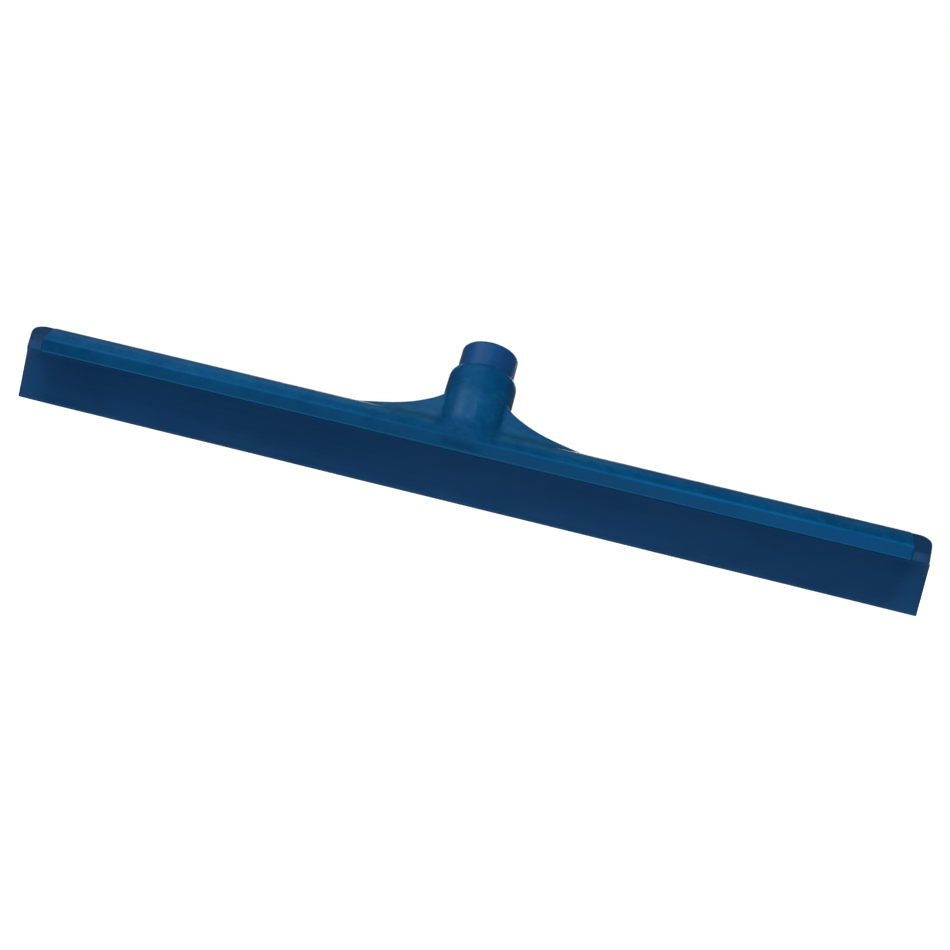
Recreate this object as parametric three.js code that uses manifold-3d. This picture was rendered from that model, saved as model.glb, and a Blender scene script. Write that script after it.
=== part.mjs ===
// Floor squeegee head, single blade, 600 mm class, with a leaning handle socket.
// Millimetres, +Z up. Origin: middle of the blade's wiping edge, at rest on the floor.
// +X runs along the head, +Y is the side that the socket leans to, -Y is the front.
// A station is a distance up the leaning socket axis.
import * as THREE from "three";
import { mergeVertices } from "three/addons/utils/BufferGeometryUtils.js";
import Module from "manifold-3d";

// ---- shared dimensions ----
const LENGTH = 600; // overall, along the blade
const GAP = 0.3; // clearance between neighbouring pieces
const OVER = 1; // overshoot of a cutter, and overlap of joined parts

// Bar
const CAP_ROOM = 15.5; // room for an end cap, along X
const BAR_END = LENGTH / 2 - CAP_ROOM; // half length of the bar
const BAR_HALF_Y = 13; // half depth at the lips
const LIP_Z = 33.6; // underside of the lips
const LIP_ROUND = 1.6;
const RIDGE_Z = 42.3; // edge between the lip face and the sloping top
const RIDGE_ROUND = 1;
const CROWN_Z = 50.25; // top of the bar

// Blade slot, and the bead channel that it opens into
const SLOT_HALF = 2.9;
const SLOT_TOP = 37.6;
const BEAD_HALF = 5.2;
const BEAD_TOP = 44.2;
const BEAD_TOP_CHAMFER = 1.2;
const BEAD_FOOT_CHAMFER = 0.8;

// Handle socket
const LEAN = THREE.MathUtils.degToRad(24); // from upright
const AXIS_Y = 9.9; // station 0
const AXIS_Z = 34.8;
const SOCKET_BASE_R = 23.5;
const SOCKET_TOP_R = 23.2; // just below the rounded shoulder
const SHOULDER_START = 49.05; // station where the shoulder starts to round in
const SHOULDER_S = 54.25; // station of the socket's top ring
const SHOULDER_R = 20.2; // outer edge of the top ring
const CAVITY_R = 17; // cavity that takes the threaded insert
const CAVITY_S = 29.6;

// Keys that stop the insert turning
const SLEEVE_R = 16.7; // outside of the insert's sleeve
const KEYS = 3;
const KEY_HALF = 1.2; // half width
const KEY_OUT = 1.5; // reach beyond the sleeve
const KEY_SUNK = 2; // depth inside the sleeve's surface

// Blade and end caps
const HINGE_Z = 30.7; // line about which the blade flexes
const BLADE_HALF_ROOT = 2.6; // half thickness at the flex line
const PLUG_LENGTH = 12; // reach of a cap's plug into the bead channel

// ---- solids and geometries ----
const wasm = await Module();
wasm.setup();

// A closed geometry as a solid: vertices merged, collapsed faces dropped, faces turned out.
function solid(geometry) {
  const loose = geometry.index ? geometry.toNonIndexed() : geometry;
  const bare = new THREE.BufferGeometry().setAttribute("position", loose.getAttribute("position"));
  const merged = mergeVertices(bare, 1e-4);
  const corners = merged.index.array;
  const faces = [];
  for (let i = 0; i < corners.length; i += 3) {
    const [a, b, c] = corners.subarray(i, i + 3);
    if (a !== b && b !== c && c !== a) faces.push(a, b, c);
  }
  const build = () => new wasm.Manifold(new wasm.Mesh({
    numProp: 3,
    vertProperties: new Float32Array(merged.attributes.position.array),
    triVerts: new Uint32Array(faces),
  }));
  const built = build();
  if (built.volume() >= 0) return built;
  for (let i = 0; i < faces.length; i += 3) {
    [faces[i + 1], faces[i + 2]] = [faces[i + 2], faces[i + 1]];
  }
  return build();
}

function geometryOf(body) {
  const { vertProperties, triVerts } = body.getMesh(); // positions only, three per vertex
  const geometry = new THREE.BufferGeometry();
  geometry.setAttribute("position", new THREE.BufferAttribute(new Float32Array(vertProperties), 3));
  geometry.setIndex(new THREE.BufferAttribute(new Uint32Array(triVerts), 1));
  geometry.computeVertexNormals();
  return geometry;
}

// ---- outlines and extrusions ----
const vectors = (points) => points.map(([x, y]) => new THREE.Vector2(x, y));
const shapeOf = (points) => new THREE.Shape(vectors(points));
const mirrored = (points) => points.map(([x, y]) => [-x, y]).reverse();

// Points on an arc; angles in degrees.
function arc(centreX, centreY, radius, from, to, steps) {
  return Array.from({ length: steps + 1 }, (_, i) => {
    const angle = THREE.MathUtils.degToRad(from + ((to - from) * i) / steps);
    return [centreX + radius * Math.cos(angle), centreY + radius * Math.sin(angle)];
  });
}

// Extrudes an outline, with its own x, y and depth directions laid along the given axes.
function extruded(outline, from, to, ...axes) {
  const geometry = new THREE.ExtrudeGeometry(shapeOf(outline), {
    depth: to - from,
    bevelEnabled: false,
  });
  geometry.translate(0, 0, from);
  geometry.applyMatrix4(new THREE.Matrix4().makeBasis(...axes));
  return solid(geometry);
}
const X = new THREE.Vector3(1, 0, 0);
const Y = new THREE.Vector3(0, 1, 0);
const Z = new THREE.Vector3(0, 0, 1);
const MINUS_Y = new THREE.Vector3(0, -1, 0);
const alongX = (yzOutline, x0, x1) => extruded(yzOutline, x0, x1, Y, Z, X);
const alongY = (xzOutline, y0, y1) => extruded(xzOutline, -y1, -y0, X, Z, MINUS_Y);
const alongZ = (xyOutline, z0, z1) => extruded(xyOutline, z0, z1, X, Y, Z);

// Turns a geometry built about +Y onto the leaning socket axis.
function ontoSocket(geometry) {
  geometry.rotateX(Math.PI / 2 - LEAN);
  geometry.translate(0, AXIS_Y, AXIS_Z);
  return geometry;
}

// A closed (radius, station) profile turned about the socket axis.
const turned = (profile, segments) =>
  solid(ontoSocket(new THREE.LatheGeometry(vectors(profile), segments)));

// Keys evenly spaced about the socket axis; room widens and deepens them.
function keys(room, fromS, toS) {
  const out = KEY_OUT + room;
  const blocks = Array.from({ length: KEYS }, (_, i) => {
    const block = new THREE.BoxGeometry((KEY_HALF + room) * 2, toS - fromS, out + KEY_SUNK);
    block.translate(0, (fromS + toS) / 2, SLEEVE_R + (out - KEY_SUNK) / 2);
    block.rotateY((i * 2 * Math.PI) / KEYS);
    return solid(ontoSocket(block));
  });
  return blocks.reduce((all, block) => all.add(block));
}

// ---- bar sections, as (y, z) ----
// +Y half of the bar's outside, from the underside up to just short of the crown.
const barSide = [
  ...arc(BAR_HALF_Y - LIP_ROUND, LIP_Z + LIP_ROUND, LIP_ROUND, -90, 0, 4),
  ...arc(BAR_HALF_Y - RIDGE_ROUND, RIDGE_Z - 0.4, RIDGE_ROUND, 0, 47, 3),
  [6.6, 48.25], [5.2, 49.05], [3.6, 49.75], [1.8, 50.15],
];
const barOutside = [...barSide, [0, CROWN_Z], ...mirrored(barSide)];

// +Y half of the channel and slot, from the roof down.
const slotSide = [
  [BEAD_HALF - BEAD_TOP_CHAMFER, BEAD_TOP],
  [BEAD_HALF, BEAD_TOP - BEAD_TOP_CHAMFER],
  [BEAD_HALF, SLOT_TOP + BEAD_FOOT_CHAMFER],
  [BEAD_HALF - BEAD_FOOT_CHAMFER, SLOT_TOP],
  [SLOT_HALF, SLOT_TOP],
  [SLOT_HALF, LIP_Z],
];

// ---- head body: bar, socket and wings ----
function socketBody() {
  const shoulderSteps = 6;
  const profile = [[0, 0], [SOCKET_BASE_R, 0], [SOCKET_TOP_R, SHOULDER_START - 1]];
  for (let i = 0; i <= shoulderSteps; i++) {
    const angle = (Math.PI / 2) * (i / shoulderSteps);
    profile.push([
      SHOULDER_R + (SOCKET_TOP_R - SHOULDER_R) * Math.cos(angle),
      SHOULDER_START + (SHOULDER_S - SHOULDER_START) * Math.sin(angle),
    ]);
  }
  profile.push([0, SHOULDER_S]);
  return turned(profile, 64).subtract(belowSocket());
}

// Everything below the lips, and below the slope that rises behind the bar.
function belowSocket() {
  const slope = THREE.MathUtils.degToRad(20);
  const halfX = 60;
  const frontY = -60;
  const backY = 90;
  const floorZ = -10;
  return alongX([
    [frontY, floorZ], [backY, floorZ],
    [backY, LIP_Z + (backY - BAR_HALF_Y) * Math.tan(slope)],
    [BAR_HALF_Y, LIP_Z], [frontY, LIP_Z],
  ], -halfX, halfX);
}

// A bevelled plate that leans with the socket and tapers out to both sides.
function wings() {
  const thick = 8;
  const bevel = 1.5;
  const foot = -3; // lower edge, along the lean
  const centreY = 6;
  const centreZ = 46;
  const side = [ // half length along X, height along the lean
    [20, 24.8], [22.2, 22.8], [26, 20.0], [30, 17.8], [34.5, 15.5], [40, 13.0], [46, 11.0],
    [52, 9.4], [58, 8.1], [64, 6.9], [70, 5.9], [76, 4.7], [82, 3.4],
  ];
  const [tipX] = side.at(-1);
  const outline = [...side, [tipX, foot], [-tipX, foot], ...mirrored(side)];
  const depth = thick - 2 * bevel;
  const plate = new THREE.ExtrudeGeometry(shapeOf(outline), {
    depth,
    bevelEnabled: true,
    bevelThickness: bevel,
    bevelSize: bevel,
    bevelOffset: -bevel, // keeps the bevel inside the outline
    bevelSegments: 2,
  });
  plate.translate(0, 0, -depth / 2);
  plate.rotateX(Math.PI / 2 - LEAN);
  plate.translate(0, centreY, centreZ);
  return solid(plate);
}

function headBody() {
  const bar = alongX([...barOutside, ...mirrored(slotSide), ...slotSide], -BAR_END, BAR_END);
  const mouth = [[SLOT_HALF, LIP_Z - OVER], [-SLOT_HALF, LIP_Z - OVER]];
  const channel = alongX([...slotSide, ...mouth, ...mirrored(slotSide)],
    -BAR_END - OVER, BAR_END + OVER);
  const topS = SHOULDER_S + OVER;
  const cavity = turned([[0, CAVITY_S], [CAVITY_R, CAVITY_S], [CAVITY_R, topS], [0, topS]], 64)
    .add(keys(GAP, CAVITY_S, topS));
  return bar.add(socketBody()).add(wings()).subtract(channel).subtract(cavity);
}

// ---- threaded insert ----
const THREAD_R = 12.9; // bore, and centre line of the thread
const BORE_END_S = 34.1; // closed end of the bore
const THREAD_TURNS = 6;

class ThreadHelix extends THREE.Curve {
  getPoint(t, target = new THREE.Vector3()) {
    const pitch = 4.6;
    const startS = BORE_END_S + 3;
    const angle = t * THREAD_TURNS * 2 * Math.PI;
    return target.set(
      THREAD_R * Math.cos(angle),
      startS + t * THREAD_TURNS * pitch,
      -THREAD_R * Math.sin(angle),
    );
  }
}

function thread() {
  const wireR = 1.15;
  const stepsPerTurn = 18;
  const hexagon = arc(0, 0, wireR, 0, 300, 5);
  return solid(ontoSocket(new THREE.ExtrudeGeometry(shapeOf(hexagon), {
    steps: THREAD_TURNS * stepsPerTurn,
    bevelEnabled: false,
    extrudePath: new ThreadHelix(),
  })));
}

function socketInsert() {
  const sleeveS = 30; // closed end of the sleeve
  const collarR = 19.45;
  const collarS = SHOULDER_S + GAP; // underside of the collar
  const collarRound = 2;
  const mouthS = 73.2;
  const mouthR = 15.6; // wide end of the mouth chamfer
  const chamfer = 1; // at the closed ends of sleeve and bore
  const profile = [
    [0, sleeveS], [SLEEVE_R - chamfer, sleeveS], [SLEEVE_R, sleeveS + chamfer],
    [SLEEVE_R, collarS], [collarR, collarS],
    ...arc(collarR - collarRound, mouthS - collarRound, collarRound, 0, 90, 4),
    [mouthR, mouthS], [THREAD_R + 0.3, mouthS - 4], [THREAD_R, mouthS - 5],
    [THREAD_R, BORE_END_S + chamfer], [THREAD_R - chamfer, BORE_END_S], [0, BORE_END_S],
  ];
  return turned(profile, 36).add(keys(0, sleeveS + 0.5, SHOULDER_S - 1)).add(thread());
}

// ---- blade ----
// The bead and neck held in the channel.
function bladeRoot() {
  const neckHalf = SLOT_HALF - 0.4;
  const beadHalf = BEAD_HALF - 0.35;
  const beadFoot = SLOT_TOP + 0.35;
  const footChamfer = 0.65;
  const seatR = BLADE_HALF_ROOT + 0.35;
  const seatAngle = THREE.MathUtils.radToDeg(Math.acos(neckHalf / seatR));
  const side = [
    [neckHalf, beadFoot], [beadHalf - footChamfer, beadFoot], [beadHalf, beadFoot + footChamfer],
    [beadHalf, BEAD_TOP - 1.6], [BEAD_HALF - 1.5, BEAD_TOP - 0.4],
  ];
  const profile = [
    ...arc(0, HINGE_Z, seatR, seatAngle, 180 - seatAngle, 8).reverse(), // seat over the flex line
    ...side,
    ...mirrored(side),
  ];
  const end = BAR_END - PLUG_LENGTH - GAP;
  return alongX(profile, -end, end);
}

// The part that flexes, down to the wiping edge.
function bladeLip() {
  const edgeHalf = 1.4;
  const tipHalf = 1.7; // half thickness just above the edge
  const tipZ = 0.8;
  const profile = [
    [-edgeHalf, 0], [edgeHalf, 0], [tipHalf, tipZ],
    ...arc(0, HINGE_Z, BLADE_HALF_ROOT, 0, 180, 12),
    [-tipHalf, tipZ],
  ];
  return alongX(profile, -LENGTH / 2, LENGTH / 2);
}

// ---- end cap, at the +X end ----
function endCap() {
  const inset = 1.5; // how far the cap stays behind the end of the blade
  const roundX = 10; // elliptical rounding of the end, seen from above
  const roundY = 12.4;
  const roundTop = 6.5; // rounding of the outer top corner
  const innerX = BAR_END + GAP;
  const outerX = LENGTH / 2 - inset;
  const cutX = innerX - OVER;
  const cutY = BAR_HALF_Y + OVER;
  const cutZ = LIP_Z - OVER;

  const sideView = alongY([
    [cutX, cutZ], [outerX, cutZ],
    ...arc(outerX - roundTop, CROWN_Z - roundTop, roundTop, 0, 90, 6),
    [cutX, CROWN_Z],
  ], -cutY, cutY);
  const corner = arc(0, 0, 1, 0, 90, 8).map(([cos, sin]) =>
    [outerX - roundX * (1 - cos), BAR_HALF_Y - roundY * (1 - sin)]);
  const topView = alongZ([
    [cutX, -BAR_HALF_Y],
    ...corner.map(([x, y]) => [x, -y]).reverse(),
    ...corner,
    [cutX, BAR_HALF_Y],
  ], cutZ, CROWN_Z + OVER);

  const plugHalf = BEAD_HALF - 0.4;
  const plugSide = [
    [BEAD_HALF - 1.2, SLOT_TOP + 0.4], [plugHalf, SLOT_TOP + 1.4],
    [plugHalf, BEAD_TOP - 1.7], [BEAD_HALF - 1.6, BEAD_TOP - 0.5],
  ];
  const plug = alongX([...plugSide, ...mirrored(plugSide)], BAR_END - PLUG_LENGTH, innerX + OVER);
  return alongX(barOutside, innerX, outerX).intersect(sideView).intersect(topView).add(plug);
}

// ---- materials: sRGB colour and roughness ----
const material = ({ rgb, roughness }) => new THREE.MeshStandardMaterial({
  color: new THREE.Color().setRGB(...rgb, THREE.SRGBColorSpace),
  roughness,
  metalness: 0,
});
const headMaterial = () => material({ rgb: [0.045, 0.31, 0.49], roughness: 0.48 });
const insertMaterial = () => material({ rgb: [0.1, 0.3, 0.51], roughness: 0.42 });
const bladeMaterial = () => material({ rgb: [0.07, 0.21, 0.36], roughness: 0.7 });
const capMaterial = () => material({ rgb: [0.09, 0.24, 0.38], roughness: 0.7 });

// ---- assembly ----
const squeegee = new THREE.Group();
function add(name, geometry, meshMaterial) {
  const mesh = new THREE.Mesh(geometry, meshMaterial);
  mesh.name = name;
  squeegee.add(mesh);
}
add("head_body", geometryOf(headBody()), headMaterial());
add("socket_insert", geometryOf(socketInsert()), insertMaterial());
add("blade_root", geometryOf(bladeRoot()), bladeMaterial());
add("blade_lip", geometryOf(bladeLip()), bladeMaterial());
add("end_cap_left", geometryOf(endCap()).rotateZ(Math.PI), capMaterial());
add("end_cap_right", geometryOf(endCap()), capMaterial());

export default squeegee;
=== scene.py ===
"""Floor squeegee head: a moulded bar with wings and a leaning socket, a threaded insert in the
socket, two end caps and one flexing blade.

The bar lies along X and the blade's wiping edge is near z = 0. The front is -Y; the socket
leans back (+Y) as it rises. Shapes are worked out in millimetres and built in metres.
"""
import functools
import itertools
import math

import bmesh
import bpy
import numpy as np
from mathutils import Matrix, Vector


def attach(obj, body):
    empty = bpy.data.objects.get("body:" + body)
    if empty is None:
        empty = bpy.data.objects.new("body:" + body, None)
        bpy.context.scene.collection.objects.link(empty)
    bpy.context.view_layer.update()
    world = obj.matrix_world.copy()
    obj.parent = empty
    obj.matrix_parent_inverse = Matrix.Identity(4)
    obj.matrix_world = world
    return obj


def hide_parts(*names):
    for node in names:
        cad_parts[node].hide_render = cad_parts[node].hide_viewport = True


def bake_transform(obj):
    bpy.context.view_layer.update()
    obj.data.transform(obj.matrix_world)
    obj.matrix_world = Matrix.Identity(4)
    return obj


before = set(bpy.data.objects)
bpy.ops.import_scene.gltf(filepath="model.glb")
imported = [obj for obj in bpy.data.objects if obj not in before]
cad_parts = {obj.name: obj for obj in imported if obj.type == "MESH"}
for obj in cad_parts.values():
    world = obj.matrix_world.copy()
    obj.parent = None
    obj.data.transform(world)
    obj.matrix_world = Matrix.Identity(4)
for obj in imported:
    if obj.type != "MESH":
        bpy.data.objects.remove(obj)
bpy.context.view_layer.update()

# ------------------------------------------------------------------ dimensions, mm
# A name ending in _S is a station along the socket's axis, measured from AXIS_Y, AXIS_Z.
# bar
LIP_Z, RIDGE_Z, CROWN_Z = 33.6, 41.8, 50.25
HALF_Y = 13.0
BAR_END = 284.5
# slot under the bar, and the wider room above it for the blade's bead
SLOT_HALF, SLOT_TOP = 2.9, 37.6
BEAD_HALF, BEAD_TOP = 5.2, 44.2
# socket
LEAN = math.radians(24.0)
AXIS_Y, AXIS_Z = 9.9, 34.8
SOCKET_R = 23.3
SHOULDER_R, SHOULDER_START_S, SHOULDER_S = 20.2, 49.05, 54.25
UNDERSIDE_SLOPE = math.radians(20)
SOCKET_FRONT_Y = -11.2
CAVITY_R, CAVITY_S = 17.0, 29.6
KEYWAY_R, KEYWAY_HALF = 18.5, 1.8
# wings: their root, and the plate's half thickness, thinning and edge radius
WING_Y, WING_Z = 6.0, 46.0
WING_HALF_T, WING_THINNING, WING_EDGE_R = 4.6, 0.03, 2.6
# threaded insert
SLEEVE_R, SLEEVE_S = 16.7, 30.0
KEY_HEIGHT, KEY_END_S = 1.45, 52.9
COLLAR_R, COLLAR_S = 19.45, SHOULDER_S + 0.3
COLLAR_ROUND = 2.3
MOUTH_S, BORE_END_S = 73.2, 34.1
THREAD_R, THREAD_HEIGHT, THREAD_PITCH = 12.9, 1.15, 4.6
# end caps: half depth, x of both faces, and the reach of the end's rounding in x and y
CAP_HALF_Y = HALF_Y + 0.35
CAP_INNER_X, CAP_OUTER_X = BAR_END + 0.15, 299.2
CAP_ROUND_X, CAP_ROUND_Y = 10.7, 12.7
CAP_TOP_ROUND = 8.6
# blade: half thicknesses, heights, and the half length over which the bead is held
BLADE_ROOT, BLADE_TIP = 2.6, 1.7
TAPER_TOP_Z, TAPER_END_Z = 30.7, 0.8
HELD_X = 272.2

SIN_LEAN, COS_LEAN = math.sin(LEAN), math.cos(LEAN)
AXIS_FOOT = np.array([0.0, AXIS_Y, AXIS_Z])
AXIS_UP = np.array([0.0, SIN_LEAN, COS_LEAN])      # along the socket, towards its mouth
AXIS_FRONT = np.array([0.0, -COS_LEAN, SIN_LEAN])  # across it, towards the front
AXIS_SIDE = np.array([1.0, 0.0, 0.0])


# ------------------------------------------------------------------ outlines
def arc(center, radii, degrees, segments):
    angle = np.radians(np.linspace(*degrees, segments + 1))
    return np.stack([center[0] + radii[0] * np.cos(angle),
                     center[1] + radii[1] * np.sin(angle)], -1)


def mirrored(half, top=None):
    """Closed outline from its positive half, with an optional point on the middle line."""
    half = np.asarray(half, float)
    middle = np.empty((0, 2)) if top is None else [[0, top]]
    return np.concatenate([half, middle, half[::-1] * [-1, 1]])


# (y, z): lip, ridge, then the sloping face's top running over the crown
BAR_OUTLINE = mirrored(np.concatenate([
    arc((HALF_Y - 0.7, LIP_Z + 0.5), (0.7, 0.7), (-90, 0), 6),
    arc((HALF_Y - 1.0, RIDGE_Z - 0.4), (1.0, 1.0), (0, 47), 8),
    [[6.6, 48.25], [5.9, 48.68], [5.2, 49.05], [4.4, 49.42],
     [3.6, 49.73], [2.7, 49.98], [1.8, 50.14], [0.9, 50.22]]]), top=CROWN_Z)

# (y, z)
SLOT_OUTLINE = mirrored([
    [SLOT_HALF, LIP_Z - 6], [SLOT_HALF, SLOT_TOP],
    [BEAD_HALF - 0.8, SLOT_TOP], [BEAD_HALF, SLOT_TOP + 0.8],
    [BEAD_HALF, BEAD_TOP - 1.2], [BEAD_HALF - 1.2, BEAD_TOP]])

# (radius, station): mirrored so that the axis isn't an edge
SOCKET_OUTLINE = mirrored(np.concatenate([
    [[SOCKET_R + 0.25, -4], [SOCKET_R - 0.05, SHOULDER_START_S - 2.0]],
    arc((SHOULDER_R, SHOULDER_START_S),
        (SOCKET_R - 0.1 - SHOULDER_R, SHOULDER_S - SHOULDER_START_S), (0, 90), 10)]))

# (y, z): a shoe a little proud of the lips, a step, then one slope a little under the bar's
CAP_OUTLINE = mirrored(np.concatenate([
    arc((CAP_HALF_Y - 0.6, LIP_Z + 0.6), (0.6, 0.6), (-90, 0), 5),
    arc((CAP_HALF_Y - 0.7, 38.6), (0.7, 0.7), (0, 90), 5),
    [[12.45, 39.4], [12.2, 39.55], [12.05, 39.85], [11.85, 40.2],
     [6.3, 47.75], [5.4, 48.5], [4.3, 49.15], [3.0, 49.62], [1.6, 49.9]]]), top=50.0)

# (y, z): the cap's plug, which reaches into the bead's room
PLUG_OUTLINE = mirrored([[4.0, 38.0], [4.8, 39.0], [4.8, 42.5], [3.6, 43.7]])

# (|x|, height of the wings' edge above their root, along the lean)
WING_EDGE = np.array([
    [0, 27], [16, 26.2], [20, 24.8], [22.2, 22.9], [26, 19.9], [30, 17.5],
    [34.5, 15.2], [40, 12.7], [46, 10.5], [52, 8.7], [58, 7.3], [64, 6.0],
    [70, 4.8], [76, 3.5], [82, 2.2], [90, 0.2], [100, -2.4], [112, -6.0]])


def smooth_wing_edge():
    """Even stations along the wings' edge with its relaxed height and slope."""
    x = np.linspace(0, 112, 449)
    height = np.interp(x, *WING_EDGE.T)
    for _ in range(60):
        height[1:-1] = 0.25 * height[:-2] + 0.5 * height[1:-1] + 0.25 * height[2:]
    return x, height, np.gradient(height, x)


EDGE_X, EDGE_HEIGHT, EDGE_SLOPE = smooth_wing_edge()


# ------------------------------------------------------------------ distance fields
# Each gives a signed distance in mm, negative inside.
def polygon_distance(x, y, outline):
    shape = x.shape
    x, y = x.ravel(), y.ravel()
    squared = np.full(x.shape, 1e18)
    inside = np.zeros(x.shape, bool)
    for (x0, y0), (x1, y1) in zip(outline, np.roll(outline, -1, axis=0)):
        edge_x, edge_y = x1 - x0, y1 - y0
        from_x, from_y = x - x0, y - y0
        length2 = max(edge_x * edge_x + edge_y * edge_y, 1e-12)
        part = np.clip((from_x * edge_x + from_y * edge_y) / length2, 0, 1)
        squared = np.minimum(squared,
                             (from_x - edge_x * part) ** 2 + (from_y - edge_y * part) ** 2)
        crosses = (y0 > y) != (y1 > y)
        if abs(edge_y) > 1e-12:
            inside ^= crosses & (x < edge_x * (y - y0) / edge_y + x0)
    return (np.sqrt(squared) * np.where(inside, -1.0, 1.0)).reshape(shape)


def soft_min(a, b, blend):
    """Union of two fields with a fillet about as wide as blend."""
    near = np.maximum(blend - np.abs(a - b), 0) / blend
    return np.minimum(a, b) - near * near * blend * 0.25


def soft_max(a, b, blend):
    """Intersection of two fields with a rounded edge."""
    return -soft_min(-a, -b, blend)


def ease(t):
    t = np.clip(t, 0, 1)
    return t * t * (3 - 2 * t)


def along_and_across(y, z):
    """Turn offsets in y and z into ones along the socket and across it to the front."""
    return y * SIN_LEAN + z * COS_LEAN, -y * COS_LEAN + z * SIN_LEAN


def wing_distance(x, y, z):
    """A leaning plate with a rounded edge."""
    height, across = along_and_across(y - WING_Y, z - WING_Z)
    edge, slope = np.interp(x, EDGE_X, EDGE_HEIGHT), np.interp(x, EDGE_X, EDGE_SLOPE)
    over = (height - edge) * (1 / np.sqrt(1 + slope * slope)) + WING_EDGE_R
    half = WING_HALF_T - WING_THINNING * np.clip(height, 0, 30)
    beside = np.abs(across) - half + WING_EDGE_R
    outside = np.sqrt(np.maximum(over, 0) ** 2 + np.maximum(beside, 0) ** 2)
    return np.minimum(np.maximum(over, beside), 0) + outside - WING_EDGE_R


def add_socket(body, x, y, z):
    along, front = along_and_across(y - AXIS_Y, z - AXIS_Z)
    radius = np.sqrt(x * x + front * front)
    tube = polygon_distance(radius, along, SOCKET_OUTLINE)
    # behind the bar the underside climbs; in front the tube ends above the lip
    climb = LIP_Z + (y - HALF_Y) * math.tan(UNDERSIDE_SLOPE) - z
    tube = soft_max(tube, climb * math.cos(UNDERSIDE_SLOPE), blend=5.0)
    tube = soft_max(tube, LIP_Z - z, blend=1.2)
    tube = soft_max(tube, SOCKET_FRONT_Y - y, blend=1.6)
    body = soft_min(body, tube, blend=1.5 + 4.0 * (1 - ease((x - 9) / 9)))
    # cavity with three keyways, a little larger than the insert's keys
    cavity = soft_max(radius - CAVITY_R, CAVITY_S - along, blend=0.6)
    turn = np.arctan2(x, front)
    off = np.minimum(np.abs(turn), np.abs(turn - 2 * np.pi / 3)) * radius
    keyway = np.maximum(np.maximum(off - KEYWAY_HALF, radius - KEYWAY_R), CAVITY_S - along)
    return soft_max(body, -np.minimum(cavity, keyway), blend=0.5)


def add_wings_and_socket(bar, x, y, z):
    body = soft_min(bar, wing_distance(x, y, z), blend=2.0 + 5.0 * (1 - ease((x - 30) / 50)))
    near = x < 42
    if near.any():
        body[near] = add_socket(body[near], x[near], y[near], z[near])
    return body


def head_field(points):
    """Bar, wings and socket, less the blade's slot and the insert's cavity."""
    x, y, z = np.abs(points[..., 0]), points[..., 1], points[..., 2]
    body = polygon_distance(y, z, BAR_OUTLINE)
    near = x < 125
    if near.any():
        body[near] = add_wings_and_socket(body[near], x[near], y[near], z[near])
    body = soft_max(body, -polygon_distance(y, z, SLOT_OUTLINE), blend=0.5)
    return soft_max(body, x - BAR_END, blend=0.7)


def cap_half_depth(x):
    """Half depth of a cap at x, with its rounded end."""
    reach = np.clip((np.abs(x) - (CAP_OUTER_X - CAP_ROUND_X)) / CAP_ROUND_X, 0, 1)
    return (CAP_HALF_Y - CAP_ROUND_Y) + CAP_ROUND_Y * np.sqrt(1 - reach * reach)


def cap_field(points):
    x, y, z = np.abs(points[..., 0]), points[..., 1], points[..., 2]
    leaned = x + 0.085 * np.maximum(z - 34, 0)  # the end leans in towards the top
    # end rounded in plan
    over_x = np.maximum((leaned - (CAP_OUTER_X - CAP_ROUND_X)) / CAP_ROUND_X, 0)
    over_y = np.maximum((np.abs(y) - (CAP_HALF_Y - CAP_ROUND_Y)) / CAP_ROUND_Y, 0)
    rounded = (np.sqrt(over_x * over_x + over_y * over_y) - 1) * min(CAP_ROUND_X, CAP_ROUND_Y)
    plan = np.maximum(rounded, leaned - CAP_OUTER_X)
    # end rounded in front view, over the top
    over_x = np.maximum(leaned - (CAP_OUTER_X - CAP_TOP_ROUND), 0)
    over_z = np.maximum(z - (CROWN_Z - CAP_TOP_ROUND), 0)
    elevation = np.sqrt(over_x * over_x + over_z * over_z) - CAP_TOP_ROUND
    cap = polygon_distance(y, z, CAP_OUTLINE)
    cap = soft_max(cap, soft_max(plan, elevation, blend=2.0), blend=0.7)
    cap = soft_max(cap, CAP_INNER_X - x, blend=0.6)
    plug_ends = np.maximum(BAR_END - 12 - x, x - (CAP_INNER_X + 3))
    plug = soft_max(polygon_distance(y, z, PLUG_OUTLINE), plug_ends, blend=0.5)
    return soft_min(cap, plug, blend=0.4)


# ------------------------------------------------------------------ meshing
CORNERS = list(itertools.product((0, 1), repeat=3))
SLAB = 24             # grid planes sampled at once
GRADIENT_STEP = 0.02  # mm
MAX_MOVE = 0.6        # mm, longest move of a vertex in one projection
RELAX_PASSES, RELAX_SHARE = 2, 0.45


def grid(*runs):
    """Grid lines from (start, stop, step) runs, with no repeated line."""
    lines = [np.linspace(start, stop, max(1, int(round((stop - start) / step))) + 1)
             for start, stop, step in runs]
    return np.unique(np.round(np.concatenate(lines), 5))


def sample(axes, field):
    xs, ys, zs = axes
    values = np.empty((len(xs), len(ys), len(zs)))
    for a in range(0, len(xs), SLAB):
        slab = np.meshgrid(xs[a:a + SLAB], ys, zs, indexing="ij")
        values[a:a + SLAB] = field(np.stack(slab, -1))
    values[np.abs(values) < 1e-7] = 1e-7
    return values


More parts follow.
